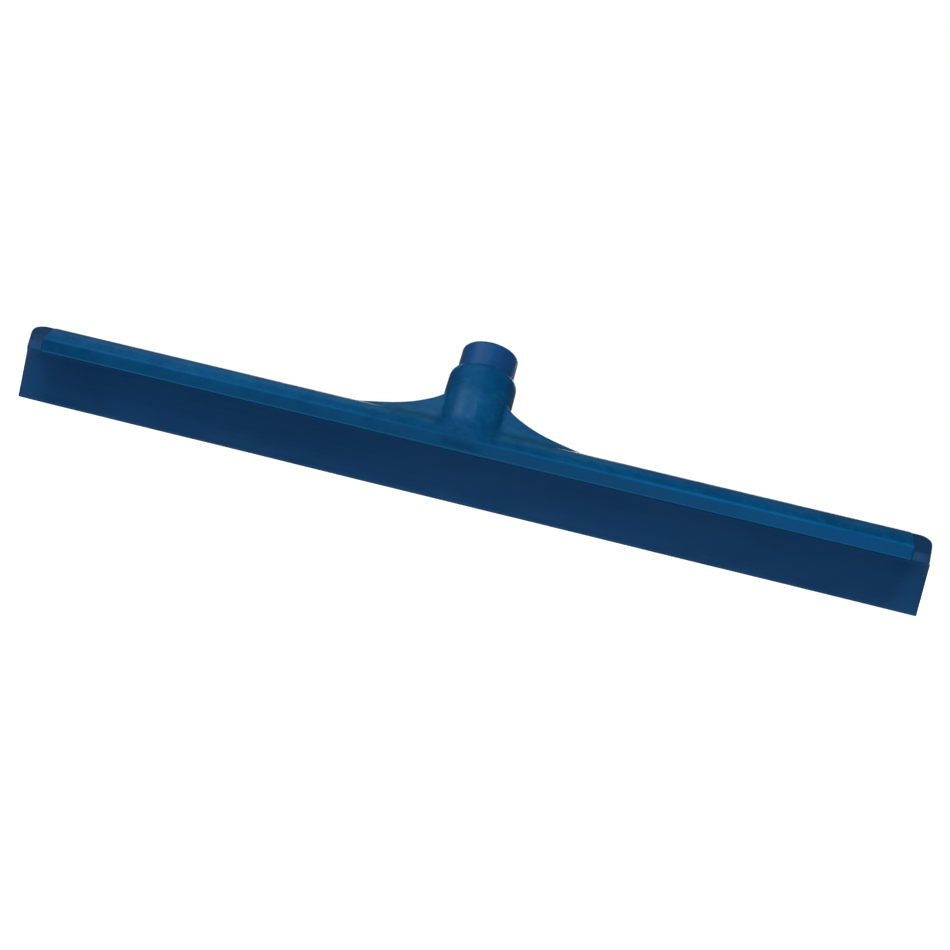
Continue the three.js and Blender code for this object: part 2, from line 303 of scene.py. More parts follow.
def cell_vertices(axes, values, inside):
    """One vertex in each cell the surface crosses, and the cells' vertex numbers."""
    xs, ys, zs = axes
    nx, ny, nz = values.shape
    count = sum(inside[i:nx - 1 + i, j:ny - 1 + j, k:nz - 1 + k].astype(np.int8)
                for i, j, k in CORNERS)
    cells = np.nonzero((count > 0) & (count < 8))
    cx, cy, cz = cells
    index = -np.ones((nx - 1, ny - 1, nz - 1), np.int64)
    index[cells] = np.arange(len(cx))
    value = np.stack([values[cx + i, cy + j, cz + k] for i, j, k in CORNERS], -1)
    place = np.stack([np.stack([xs[cx + i], ys[cy + j], zs[cz + k]], -1)
                      for i, j, k in CORNERS], 1)
    total, crossings = np.zeros((len(cx), 3)), np.zeros(len(cx))
    for a, b in itertools.combinations(range(8), 2):
        if sum(abs(u - v) for u, v in zip(CORNERS[a], CORNERS[b])) != 1:
            continue
        hit = (value[:, a] < 0) != (value[:, b] < 0)
        part = value[hit, a] / (value[hit, a] - value[hit, b])
        total[hit] += place[hit, a] + (place[hit, b] - place[hit, a]) * part[:, None]
        crossings[hit] += 1
    return total / crossings[:, None], index


def crossing_quads(inside, index):
    """A quad around each grid edge the surface crosses."""
    quads = []
    for axis in range(3):
        low, high = [slice(None)] * 3, [slice(None)] * 3
        low[axis], high[axis] = slice(0, -1), slice(1, None)
        start, stop = inside[tuple(low)], inside[tuple(high)]
        u, v = (axis + 1) % 3, (axis + 2) % 3
        edges = np.stack(np.nonzero(start != stop), -1)
        edges = edges[(edges[:, u] > 0) & (edges[:, v] > 0)
                      & (edges[:, u] < inside.shape[u] - 1)
                      & (edges[:, v] < inside.shape[v] - 1)]
        flip = ~start[tuple(edges.T)]
        ring = []
        for du, dv in ((-1, -1), (0, -1), (0, 0), (-1, 0)):
            cell = edges.copy()
            cell[:, u] += du
            cell[:, v] += dv
            ring.append(index[tuple(cell.T)])
        ring = np.stack(ring, -1)
        ring[flip] = ring[flip][:, ::-1]
        quads.append(ring)
    return np.concatenate(quads)


def project(field, points, times):
    """Points moved onto the surface, and the normals there."""
    for _ in range(times):
        value = field(points)
        slope = np.stack([field(points + step) - field(points - step)
                          for step in np.eye(3) * GRADIENT_STEP], -1) / (2 * GRADIENT_STEP)
        steepness = np.maximum((slope * slope).sum(-1), 0.25)
        move = -(value / steepness)[:, None] * slope
        size = np.linalg.norm(move, axis=-1, keepdims=True)
        points = points + move * np.minimum(1, MAX_MOVE / np.maximum(size, 1e-9))
    return points, slope / np.maximum(np.linalg.norm(slope, axis=-1, keepdims=True), 1e-9)


def surface_nets(axes, field):
    """A closed quad mesh on field == 0, with its vertices evened out along the surface."""
    values = sample(axes, field)
    inside = values < 0
    points, index = cell_vertices(axes, values, inside)
    quads = crossing_quads(inside, index)
    points, normals = project(field, points, 3)
    edges = np.concatenate([quads[:, [0, 1]], quads[:, [1, 2]],
                            quads[:, [2, 3]], quads[:, [3, 0]]])
    for _ in range(RELAX_PASSES):
        total, degree = np.zeros_like(points), np.zeros(len(points))
        for here, there in ((0, 1), (1, 0)):
            for c in range(3):
                total[:, c] += np.bincount(edges[:, here], points[edges[:, there], c],
                                           len(points))
            degree += np.bincount(edges[:, here], minlength=len(points))
        drift = total / np.maximum(degree, 1)[:, None] - points
        drift -= (drift * normals).sum(-1, keepdims=True) * normals
        points, normals = project(field, points + RELAX_SHARE * drift, 1)
    points, _ = project(field, points, 1)
    return points, quads


def strip(first, second):
    """Quads between two rows of vertex numbers."""
    return [(first[j], first[j + 1], second[j + 1], second[j]) for j in range(len(first) - 1)]


def mesh_object(name, points_mm, faces, material):
    """A smooth-shaded object with its normals facing out."""
    mesh = bpy.data.meshes.new(name)
    points = (np.asarray(points_mm, float) / 1000).tolist()
    mesh.from_pydata(points, [], [list(map(int, face)) for face in faces])
    mesh.validate()
    mesh.update()
    thing = bpy.data.objects.new(name, mesh)
    bpy.context.scene.collection.objects.link(thing)
    mesh.materials.append(material)
    mesh.polygons.foreach_set("use_smooth", [True] * len(mesh.polygons))
    editable = bmesh.new()
    editable.from_mesh(mesh)
    bmesh.ops.recalc_face_normals(editable, faces=editable.faces)
    editable.to_mesh(mesh)
    editable.free()
    return thing


# ------------------------------------------------------------------ shader building
BLACK, WHITE = (0.0, 0.0, 0.0), (1.0, 1.0, 1.0)


def empty_tree(owner):
    owner.use_nodes = True
    owner.node_tree.nodes.clear()
    return owner.node_tree


def add_node(tree, kind, **inputs):
    node = tree.nodes.new("ShaderNode" + kind)
    for name, value in inputs.items():
        node.inputs[name].default_value = value
    return node


class Surface:
    """A principled material; lengths in its ramps and bumps are in metres."""

    def __init__(self, name):
        self.material = bpy.data.materials.new(name)
        self.tree = empty_tree(self.material)
        output = add_node(self.tree, "OutputMaterial")
        self.principled = add_node(self.tree, "BsdfPrincipled")
        self.tree.links.new(self.principled.outputs[0], output.inputs[0])
        self.coords = add_node(self.tree, "TexCoord").outputs["Object"]

    def feed(self, socket, value):
        """Link a socket's value, or set a plain one."""
        if isinstance(value, bpy.types.NodeSocket):
            self.tree.links.new(value, socket)
        elif value is not None:
            socket.default_value = value

    def noise(self, scale, detail=3, rough=0.5, stretch=(1, 1, 1), offset=(0, 0, 0),
              distortion=0):
        mapping = add_node(self.tree, "Mapping", Scale=stretch, Location=offset)
        self.feed(mapping.inputs["Vector"], self.coords)
        texture = add_node(self.tree, "TexNoise", Scale=scale, Detail=detail,
                           Roughness=rough, Distortion=distortion)
        self.feed(texture.inputs["Vector"], mapping.outputs[0])
        return texture.outputs[0]

    def ramp(self, value, between, span=(0, 1)):
        """Smooth step of value between two limits, giving span."""
        node = add_node(self.tree, "MapRange")
        node.interpolation_type = "SMOOTHSTEP"
        self.feed(node.inputs[0], value)
        for i, number in enumerate((*between, *span), 1):
            node.inputs[i].default_value = number
        return node.outputs[0]

    def fall(self, value, between):
        return self.ramp(value, between, span=(1, 0))

    def band(self, value, rise, fall):
        return self.times(self.ramp(value, rise), self.fall(value, fall))

    def patches(self, between, span=(0, 1), **noise):
        return self.ramp(self.noise(**noise), between, span)

    def math(self, operation, a, b=None, clamp=False):
        node = add_node(self.tree, "Math")
        node.operation = operation
        node.use_clamp = clamp
        self.feed(node.inputs[0], a)
        self.feed(node.inputs[1], b)
        return node.outputs[0]

    def times(self, *factors):
        return functools.reduce(lambda a, b: self.math("MULTIPLY", a, b), factors)

    def gain(self, value, gain, base):
        return self.math("ADD", self.times(value, gain), base)

    def mix(self, factor, first, second, blend="MIX"):
        node = add_node(self.tree, "Mix")
        node.data_type = "RGBA"
        node.blend_type = blend
        self.feed(node.inputs[0], factor)
        for socket, color in ((node.inputs[6], first), (node.inputs[7], second)):
            plain = not isinstance(color, bpy.types.NodeSocket)
            self.feed(socket, (*color, 1.0) if plain else color)
        return node.outputs[2]

    def tint(self, color, toward, *masks, strength=None):
        """Move a color toward another where the masks overlap."""
        factors = masks if strength is None else (*masks, strength)
        return self.mix(self.times(*factors), color, toward)

    def split(self, vector):
        node = add_node(self.tree, "SeparateXYZ")
        self.feed(node.inputs[0], vector)
        return node.outputs

    def geometry(self, name):
        return add_node(self.tree, "NewGeometry").outputs[name]

    def facing(self, axis):
        return self.split(self.geometry("Normal"))[axis]

    def bump(self, height, distance, strength, under=None):
        node = add_node(self.tree, "Bump", Distance=distance, Strength=strength)
        self.feed(node.inputs["Height"], height)
        self.feed(node.inputs["Normal"], under)
        return node.outputs[0]

    def finish(self, color, roughness, normal, specular):
        inputs = self.principled.inputs
        self.feed(inputs["Base Color"], color)
        self.feed(inputs["Roughness"], roughness)
        self.feed(inputs["Normal"], normal)
        self.feed(inputs["Specular IOR Level"], specular)
        inputs["Specular Tint"].default_value = (0.35, 0.7, 1.0, 1)
        return self.material


# ------------------------------------------------------------------ moulded plastic
SCUFF = (0.016, 0.108, 0.200)
CROWN_SHEEN = (0.040, 0.100, 0.160)
LIP_LIGHT = (0.0006, 0.062, 0.205)
LIP_EDGE_LIGHT = (0.012, 0.096, 0.225)
RIDGE_HIGHLIGHT = (0.0006, 0.100, 0.290)
WING_SHEEN = (0.052, 0.100, 0.146)
FOOT_LIGHT = (0.024, 0.120, 0.200)
LIGHT_MOTTLE = (0.004, 0.104, 0.186)
DARK_MOTTLE = (0.0010, 0.030, 0.085)


def head_painted_light_and_mottle(mat, color, wing_sheen):
    """Painted light and shade, and fine mottling, laid over the head by height z and place x
    along the bar, with the mask of the socket's polished front.
    """
    x, _, z = mat.split(mat.coords)
    from_middle = mat.math("ABSOLUTE", x)
    # painted sheen towards the crown, away from the middle, weaker towards +x
    crown_sheen = mat.times(
        mat.band(z, rise=(0.0452, 0.0494), fall=(0.0500, 0.0520)),
        mat.ramp(from_middle, (0.035, 0.110)),
        mat.ramp(x, (-0.1, 0.1), span=(1.0, 0.65)),
        mat.patches((0.25, 0.7), span=(0.5, 1.0), scale=60, detail=4, rough=0.6,
                    stretch=(1, 2, 2), offset=(6, 1, 3)))
    color = mat.tint(color, CROWN_SHEEN, crown_sheen, strength=0.34)
    # painted light and shade: towards the +x end the lips are painted a brighter, clearer blue
    # and painted shade deepens the slope above them
    color = mat.tint(color, LIP_LIGHT, mat.fall(z, (0.0405, 0.0415)),
                     mat.ramp(x, (0.08, 0.28), span=(0.0, 0.36)))
    color = mat.tint(color, BLACK,
                     mat.band(z, rise=(0.0422, 0.0434), fall=(0.0500, 0.0530)),
                     mat.ramp(x, (0.03, 0.16), span=(0.0, 0.12)))
    # painted light on the lips' lower edge, against the shade under it, and a painted
    # highlight along the ridge
    color = mat.tint(color, LIP_EDGE_LIGHT, mat.ramp(z, (0.0336, 0.0347), span=(0.70, 0.0)))
    ridge = mat.times(
        mat.band(z, rise=(0.0408, 0.0417), fall=(0.0424, 0.0433)),
        mat.patches((0.25, 0.65), span=(0.35, 1.0), scale=45, rough=0.6, offset=(2, 7, 1)))
    color = mat.tint(color, RIDGE_HIGHLIGHT, ridge, mat.ramp(x, (0.0, 0.14), span=(0.25, 1.0)),
                     strength=0.55)
    # painted sheen on the wings' front faces, beside the socket, stronger towards -x
    wing_sheen_mask = mat.times(
        mat.band(from_middle, rise=(0.0185, 0.0215), fall=(0.050, 0.095)),
        mat.ramp(z, (0.047, 0.053)),
        mat.fall(mat.facing("Y"), (-0.75, -0.35)),
        mat.fall(mat.math("ABSOLUTE", mat.facing("X")), (0.35, 0.72)))
    cloudy = mat.times(
        mat.patches((0.3, 0.7), span=(0.45, 1.0), scale=28, detail=4, rough=0.6,
                    offset=(4, 4, 4)),
        mat.ramp(x, (-0.03, 0.03), span=(1.20, 0.55)))
    color = mat.tint(color, WING_SHEEN, wing_sheen_mask, cloudy, strength=wing_sheen)
    # painted light along the wings' foot, against the shade in the hollow there
    foot_light = mat.times(
        mat.band(from_middle, rise=(0.019, 0.025), fall=(0.080, 0.115)),
        mat.band(z, rise=(0.0452, 0.0482), fall=(0.0520, 0.0560)),
        mat.patches((0.25, 0.7), span=(0.45, 1.0), scale=70, detail=4, rough=0.65,
                    offset=(8, 3, 5)))
    color = mat.tint(color, FOOT_LIGHT, foot_light, strength=0.30)
    # fine mottling above the lips, and painted shade at the foot of the socket
    above_lips = mat.ramp(z, (0.0415, 0.0435))
    fine = mat.noise(scale=330, detail=5, rough=0.7, stretch=(0.6, 1, 1), offset=(5, 5, 2))
    color = mat.tint(color, LIGHT_MOTTLE, mat.ramp(fine, (0.52, 0.68)), above_lips,
                     strength=0.30)
    color = mat.tint(color, DARK_MOTTLE, mat.fall(fine, (0.34, 0.48)), above_lips,
                     strength=0.34)
    low = mat.times(mat.fall(from_middle, (0.030, 0.090)), mat.fall(z, (0.050, 0.056)))
    color = mat.tint(color, BLACK, low, mat.ramp(z, (0.0405, 0.0425)), strength=0.14)
    # mask of the socket's polished front
    polished = mat.times(
        mat.ramp(z, (0.052, 0.058)),
        mat.ramp(z, (0.068, 0.080), span=(1.0, 0.2)),
        mat.fall(from_middle, (0.0165, 0.0185)),
        mat.fall(mat.facing("Y"), (-0.6, -0.2)))
    return color, polished


def moulded_plastic(name, deep, mid, pale, roughness, grain, specular, shade, wing_sheen=None):
    """Satin plastic: cloudy pigment, flow lines, fine grain, scuffs, paler worn edges.

    shade is the strength of the painted shade on upright faces; the last argument, where
    given, adds the head's painted light and shade with its mottling, and is the strength of
    the painted sheen on the wings.
    """
    mat = Surface(name)
    cloud = mat.patches((0.32, 0.68), scale=16)
    mottle = mat.patches((0.3, 0.75), scale=90, detail=4, rough=0.6, offset=(3, 1, 7))
    flow = mat.patches((0.35, 0.7), scale=1, detail=4, rough=0.6, stretch=(9, 160, 160),
                       distortion=0.6)
    color = mat.mix(cloud, deep, mid)
    color = mat.tint(color, pale, mottle, strength=0.35)
    color = mat.tint(color, deep, flow, strength=0.16)
    # painted shade darkens upright faces; scuffs show most where the surface faces up
    facing_up = mat.ramp(mat.facing("Z"), (0.15, 0.9))
    upright = mat.fall(mat.facing("Z"), (-0.1, 0.62))
    color = mat.tint(color, BLACK, upright, strength=shade)
    patch = mat.patches((0.52, 0.78), scale=42, detail=5, rough=0.68, offset=(9, 2, 4))
    scratch = mat.patches((0.66, 0.78), scale=1, rough=0.7, stretch=(55, 900, 500),
                          offset=(1, 5, 2), distortion=1.2)
    scuff = mat.times(mat.math("MAXIMUM", patch, mat.times(scratch, 0.7)),
                      mat.gain(facing_up, gain=0.20, base=0.04))
    color = mat.tint(color, SCUFF, scuff)
    if wing_sheen:
        color, polished = head_painted_light_and_mottle(mat, color, wing_sheen)
    # paler along worn edges, then a fine speckle
    edge = mat.ramp(mat.geometry("Pointiness"), (0.512, 0.56))
    color = mat.tint(color, pale, edge, mat.gain(mottle, gain=0.3, base=0.22))
    speckle = mat.mix(mat.noise(scale=2300, detail=2), BLACK, WHITE)
    color = mat.mix(0.10, color, speckle, blend="OVERLAY")
    # mottling varies the roughness evenly about its value; scuffs are rougher
    rough = mat.math("ADD", roughness - 0.07, mat.times(mottle, 0.14))
    scuff_rough = 0.5
    if wing_sheen:  # the polished area is shinier, smoother and less scuffed
        specular = mat.math("ADD", specular, mat.times(polished, 0.10))
        rough = mat.math("SUBTRACT", rough, mat.times(polished, 0.14), clamp=True)
        scuff_rough = mat.math("SUBTRACT", scuff_rough, mat.times(polished, 0.5))
    rough = mat.math("ADD", rough, mat.times(scuff, scuff_rough), clamp=True)
    # broad waviness, two sizes of grain, scratches
    bump = mat.bump(mat.noise(scale=11, detail=2, rough=0.4), distance=0.0022, strength=0.35)
    bump = mat.bump(mat.noise(scale=260, detail=4, rough=0.6, offset=(2, 2, 2)),
                    distance=0.00020, strength=0.5 * grain, under=bump)
    bump = mat.bump(mat.noise(scale=1900, detail=2),
                    distance=0.00005, strength=0.55 * grain, under=bump)
    bump = mat.bump(scratch, distance=0.00006, strength=0.35, under=bump)
    return mat.finish(color, rough, bump, specular)


# ------------------------------------------------------------------ elastomer
def scaled(color, *factors):
    return tuple(channel * factor for channel, factor in zip(color, factors))


def elastomer(name, deep, mid, bloom, specular, shade=None):
    """Matt elastomer: pale bloom, streaks along it, paler edges.

    Both get painted light towards their ends. shade, the cap's color above its step, is given
    for the caps; without it the blade gets painted light under its lips and paler patches low
    down.
    """
    mat = Surface(name)
    cloud = mat.patches((0.3, 0.7), scale=13, rough=0.55, stretch=(1, 1, 2.2))
    color = mat.mix(cloud, deep, mid)
    warm = mat.patches((0.35, 0.72), scale=30, rough=0.6, offset=(5, 5, 5))
    color = mat.tint(color, scaled(mid, 1.9, 0.92, 1.05), warm, strength=0.30)
    streak = mat.patches((0.42, 0.74), scale=1, detail=5, rough=0.65,
                         stretch=(7, 60, 330), distortion=0.5)
    color = mat.tint(color, bloom, streak, strength=0.22)
    x, _, z = mat.split(mat.coords)
    # painted light: blade and caps are paler over the last stretch towards each end
    lit_ends = mat.ramp(mat.math("ABSOLUTE", x), (0.278, 0.294))
    color = mat.tint(color, scaled(bloom, 0.9, 1.1, 1.15), lit_ends, strength=0.52)
    if shade:
        color = mat.tint(color, shade, mat.ramp(z, (0.0386, 0.0402)))
        color = mat.tint(color, scaled(mid, 2.6, 1, 0.9), warm, strength=0.25)
    else:
        # painted light in the corner under the lips, where shade falls
        under_lip_light = mat.ramp(z, (0.0310, 0.0331))
        color = mat.tint(color, scaled(bloom, 0.45, 1, 1.15), under_lip_light, strength=1.0)
        # paler in patches towards the wiping edge; the edge itself is rubbed pale
        low = mat.fall(z, (0.000, 0.016))
        patch = mat.patches((0.35, 0.75), scale=24, detail=4, rough=0.6,
                            stretch=(1, 1, 3), offset=(1, 8, 3))
        color = mat.tint(color, bloom, low, mat.math("ADD", patch, 0.25), strength=0.42)
        rubbed = mat.times(
            mat.fall(z, (0.0004, 0.0026)),
            mat.patches((0.2, 0.7), span=(0.35, 1.0), scale=120, rough=0.6))
        color = mat.tint(color, scaled(bloom, 1.5, 1.35, 1.25), rubbed, strength=0.55)
    edge = mat.ramp(mat.geometry("Pointiness"), (0.515, 0.57))
    color = mat.tint(color, bloom, edge, strength=0.3)
    # streaks are rougher than the rest
    rough = mat.math("ADD", 0.56, mat.times(streak, 0.16))
    # broad waviness, streaks, grain
    bump = mat.bump(mat.noise(scale=9, detail=2, rough=0.4, stretch=(1, 1, 1.6)),
                    distance=0.003, strength=0.35)
    bump = mat.bump(streak, distance=0.00008, strength=0.5, under=bump)
    bump = mat.bump(mat.noise(scale=1500, rough=0.6), distance=0.00006, strength=0.6,
                    under=bump)
    return mat.finish(color, rough, bump, specular)


BODY_PLASTIC = moulded_plastic(
    "moulded_blue_plastic", deep=(0.0008, 0.0400, 0.119), mid=(0.0013, 0.0505, 0.143),
    pale=(0.0042, 0.080, 0.200), roughness=0.46, grain=1.0, specular=0.05, shade=0.32,
    wing_sheen=0.14)
INSERT_PLASTIC = moulded_plastic(
    "insert_blue_plastic", deep=(0.0034, 0.0350, 0.123), mid=(0.0050, 0.0425, 0.147),
    pale=(0.014, 0.070, 0.205), roughness=0.38, grain=0.7, specular=0.16, shade=0.0)
BLADE_RUBBER = elastomer(
    "blade_elastomer", deep=(0.0009, 0.0178, 0.0610), mid=(0.0017, 0.0219, 0.0730),
    bloom=(0.008, 0.040, 0.103), specular=0.10)
CAP_RUBBER = elastomer(
    "cap_elastomer", deep=(0.0034, 0.0270, 0.080), mid=(0.0052, 0.0345, 0.098),
    bloom=(0.013, 0.052, 0.120), specular=0.12, shade=(0.0024, 0.0220, 0.0620))


# ------------------------------------------------------------------ head moulding
def make_head():
    # the grid is finest round the socket and at the bar's ends
    right = [(60, 120, 2.0), (120, 278, 3.95), (278, 283.5, 1.375), (283.5, 286.3, 0.35)]
    left = [(-stop, -start, step) for start, stop, step in right]
    axes = (grid(*left, (-60, 60, 1.0), *right),
            grid((-14.6, -11.4, 0.5), (-11.4, 13.8, 0.9), (13.8, 55.5, 1.0)),
            grid((32.6, 52.2, 0.7), (52.2, 96.2, 1.0)))
    points, quads = surface_nets(axes, head_field)
    head = mesh_object("head_moulding", points, quads, BODY_PLASTIC)
    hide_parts("head_body")
    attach(head, "head")


# ------------------------------------------------------------------ end caps
def make_cap(side, name):
    axes = (grid((271.8, 284.4, 0.7), (284.4, 300.36, 0.42)),
            grid((-14.4, 14.4, 0.45)),
            grid((32.4, 51.3, 0.42)))
    points, quads = surface_nets(axes, cap_field)
    points[:, 0] *= side
    cap = mesh_object("moulded_" + name, points, quads, CAP_RUBBER)
    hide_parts(name)
    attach(cap, "head")


# ------------------------------------------------------------------ threaded insert
INSERT_SIDES = 168


def insert_rows():
    """(radius, station) rows up the sleeve, over the collar, down the bore, to its floor."""
    sleeve = [(15.7, SLEEVE_S), (16.2, SLEEVE_S + 0.12), (16.58, SLEEVE_S + 0.5),
              (SLEEVE_R, SLEEVE_S + 1.0)]
    sleeve += [(SLEEVE_R, s) for s in np.linspace(SLEEVE_S + 1.6, 52.6, 10)]
    sleeve += [(SLEEVE_R, 53.3)]
    collar = [(16.85, COLLAR_S), (18.7, COLLAR_S),
              (19.05, SHOULDER_S + 0.42), (COLLAR_R, SHOULDER_S + 0.8)]
    collar += [(COLLAR_R, s) for s in np.linspace(55.0, MOUTH_S - 2.6, 12)]
    collar += [*arc((COLLAR_R - COLLAR_ROUND, MOUTH_S - COLLAR_ROUND),
                    (COLLAR_ROUND, COLLAR_ROUND), (0, 90), 10)]
    collar += [(16.4, MOUTH_S), (15.95, MOUTH_S - 0.02), (15.7, MOUTH_S - 0.15),
               (15.45, MOUTH_S - 0.5)]
    collar += [(15.45 - (15.45 - 13.2) * t, MOUTH_S - 0.5 - 3.5 * t)
               for t in (0.25, 0.5, 0.75, 1.0)]
    collar += [(12.98, MOUTH_S - 4.5)]
    thread = [(THREAD_R, s) for s in np.arange(MOUTH_S - 5.0, BORE_END_S + 1.2, -0.36)]
    floor = [(12.6, BORE_END_S + 0.6), (12.2, BORE_END_S + 0.2),
             (11.6, BORE_END_S), (6, BORE_END_S)]
    return sleeve, collar, thread, floor


def key_height(angle, s):
    """Three rounded keys along the sleeve, the first at the front."""
    turn = np.abs((angle * 3 / (2 * np.pi) + 0.5) % 1 - 0.5)
    off = turn * 2 * np.pi / 3 * SLEEVE_R
    across = 1 - ease((off - 0.9) / 0.5)
    return KEY_HEIGHT * across * ease((s - SLEEVE_S - 0.3) / 0.8) * ease((KEY_END_S - s) / 0.5)


def thread_height(angle, s):
    """Rounded right-hand thread, fading at both ends."""
    phase = (s / THREAD_PITCH - angle / (2 * np.pi)) % 1
    ridge = np.clip(1 - ((phase - 0.5) / 0.30) ** 2, 0, None) ** 0.7
    return (THREAD_HEIGHT * ridge * ease((s - BORE_END_S - 2.2) / 2.5)
            * ease((MOUTH_S - 6.0 - s) / 3.5))


def make_insert():
    angle = np.linspace(0, 2 * np.pi, INSERT_SIDES, endpoint=False)
    points, rings = [], []
    for part, rows in enumerate(insert_rows()):
        for r, s in rows:
            radius = np.full(INSERT_SIDES, r)
            if part == 0:
                radius = radius + key_height(angle, s)
            elif part == 2:
                radius = radius - thread_height(angle, s)
            front, side = radius * np.cos(angle), radius * np.sin(angle)
            start = len(rings) * INSERT_SIDES
            rings.append([*range(start, start + INSERT_SIDES), start])
            points.append(AXIS_FOOT + AXIS_UP * s + front[:, None] * AXIS_FRONT
                          + side[:, None] * AXIS_SIDE)
    # two middle points close the sleeve's underside and the bore's floor
    points += [[AXIS_FOOT + AXIS_UP * SLEEVE_S], [AXIS_FOOT + AXIS_UP * BORE_END_S]]
    faces = []
    for lower, upper in zip(rings, rings[1:]):
        faces += strip(lower, upper)
    under = len(rings) * INSERT_SIDES
    first, last = rings[0], rings[-1]
    for j in range(INSERT_SIDES):
        faces.append((under, first[j + 1], first[j]))
        faces.append((under + 1, last[j], last[j + 1]))
    insert = mesh_object("threaded_insert", np.concatenate(points), faces, INSERT_PLASTIC)
    insert.data.set_sharp_from_angle(angle=math.radians(42))
    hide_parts("socket_insert")
    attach(insert, "head")


# ------------------------------------------------------------------ blade
# (half thickness, z) from the slot down to the wiping edge
BLADE_SIDE = [(2.5, 33.6), (2.5, 33.45), (2.5, 33.3), (2.5, 32.8), (2.52, 32.3),
              (2.56, 31.7), (BLADE_ROOT, 31.0)]
BLADE_SIDE += [
    (BLADE_TIP + (BLADE_ROOT - BLADE_TIP) * (z - TAPER_END_Z) / (TAPER_TOP_Z - TAPER_END_Z), z)
    for z in np.concatenate([np.arange(30.2, 2.2, -0.8), [1.7, 1.2]])]
BLADE_SIDE += [(BLADE_TIP, 0.75), (1.66, 0.45), (1.58, 0.2), (1.46, 0.05), (1.30, 0.0),
               (0.4, 0.0)]

# (half thickness, z) up the neck and over the bead
BLADE_BEAD = [
    (2.5, 34.8), (2.5, 36.2), (2.5, 37.4), (2.66, 37.86), (3.1, 37.97),
    (4.1, 37.97), (4.65, 38.15), (4.85, 38.6), (4.85, 40.4), (4.85, 42.4),
    (4.6, 42.85), (3.9, 43.5), (3.4, 43.76), (2.6, 43.8), (0.8, 43.8)]

# |x| of the rows past the held length
BLADE_END_X = np.concatenate([
    [272.4, 274, 275.5, 277, 278.5, 280, 281.5, 283, 284.3, 284.5, 284.9, 285.6, 286.3, 287,
     287.8, 288.6],
    np.arange(289.4, 298.6, 0.6), [299.0, 299.4, 299.7, 299.9, 300.0]])
# (|x|, how far the last rows are drawn in)
END_INSET = np.array([[299.0, 0], [299.4, 0.05], [299.7, 0.14], [299.9, 0.28], [300.0, 0.45]])

# waves of the free edge: (wavelength, height), each with a random phase
WAVE_LENGTH, WAVE_HEIGHT = np.array([
    [610.0, 0.40], [330.0, 0.28], [190.0, 0.15], [118.0, 0.09],
    [71.0, 0.05], [43.0, 0.03], [27.0, 0.018], [17.0, 0.01]]).T
WAVE_PHASE = np.random.default_rng(7).uniform(0, 2 * np.pi, 8)


def sway(x):
    """Sideways wander of the wiping edge."""
    return (WAVE_HEIGHT * np.sin(2 * np.pi * x / WAVE_LENGTH + WAVE_PHASE)).sum()


def lift(x):
    """Rise of the wiping edge, from the middling waves only."""
    some = slice(2, 6)
    wave = np.cos(2 * np.pi * x / WAVE_LENGTH[some] + WAVE_PHASE[some])
    return max(0.04 + (WAVE_HEIGHT[some] * 0.25 * wave).sum(), 0)


def flare(x, y, z):
    """Half thickness at a blade end, where it widens upwards to meet the cap."""
    amount = ease((abs(x) - 274.0) / 22.0)
    rise = np.clip((z - 5.0) / (33.4 - 5.0), 0, 1)
    growth = 0.45 * rise ** 1.6 + 0.55 * rise ** 5
    full = max(cap_half_depth(x) - 0.1, 0) if abs(x) < CAP_OUTER_X else 0
    return max(y, y + (full - y) * growth * amount)


def is_held(x):
    return abs(x) <= HELD_X + 0.01


def blade_point(x, y, z, sign, inset):
    half = max((y if z > 33.35 else flare(x, y, z)) - inset, 0.05)
    height = z + inset * max(0, 1 - z / 5)
    if z > 33.2 and not is_held(x):
        if abs(x) < 284.4:  # a tongue in the slot
            height = 34.7 if z > 33.5 else 33.3
        else:               # close under the cap
            height = 33.54
    return (x, sign * half + sway(x) * ease((28.0 - z) / 28.0),
            height + lift(x) * ease((9.0 - z) / 9.0))


def make_blade():
    """One piece from bead to wiping edge: a row of side points at each x, bead where held."""
    stations = np.concatenate([-BLADE_END_X[::-1], np.linspace(-HELD_X, HELD_X, 183),
                               BLADE_END_X])
    insets = np.interp(np.abs(stations), *END_INSET.T)
    points, sides, beads = [], [], []
    for x, inset in zip(stations, insets):
        row = [blade_point(x, y, z, sign, inset)
               for sign, outline in ((1, BLADE_SIDE), (-1, BLADE_SIDE[::-1]))
               for y, z in outline]
        sides.append([*range(len(points), len(points) + len(row))])
        points += row
        row = [(x, sign * y, z)
               for sign, outline in ((-1, BLADE_BEAD), (1, BLADE_BEAD[::-1]))
               for y, z in outline] if is_held(x) else []
        beads.append([*range(len(points), len(points) + len(row))])
        points += row

    faces = []
    for i in range(len(stations) - 1):
        here, there = sides[i], sides[i + 1]
        faces += strip(here, there)
        both = beads[i] and beads[i + 1]
        bead_here, bead_there = (beads[i], beads[i + 1]) if both else ([], [])
        faces += strip([here[-1], *bead_here, here[0]], [there[-1], *bead_there, there[0]])
    # close the bead's two ends, then the blade's
    half = len(BLADE_BEAD)
    for i, bead in enumerate(beads):
        if bead and not (beads[i - 1] and beads[i + 1]):
            faces += strip([sides[i][-1], *bead[:half]], [sides[i][0], *bead[half:][::-1]])
    half = len(BLADE_SIDE)
    for row in (sides[0], sides[-1]):
        faces += strip(row[half:][::-1], row[:half])

    blade = mesh_object("wiping_blade", points, faces, BLADE_RUBBER)
    blade.data.set_sharp_from_angle(angle=math.radians(50))
    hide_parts("blade_root", "blade_lip")
    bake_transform(blade)


make_head()
make_cap(-1, "end_cap_left")
make_cap(1, "end_cap_right")
make_insert()
make_blade()

# ------------------------------------------------------------------ stage, m
scene = bpy.context.scene
scene.view_settings.view_transform = "Standard"
scene.view_settings.look = "None"
scene.view_settings.exposure = 0.0
scene.view_settings.gamma = 1.0


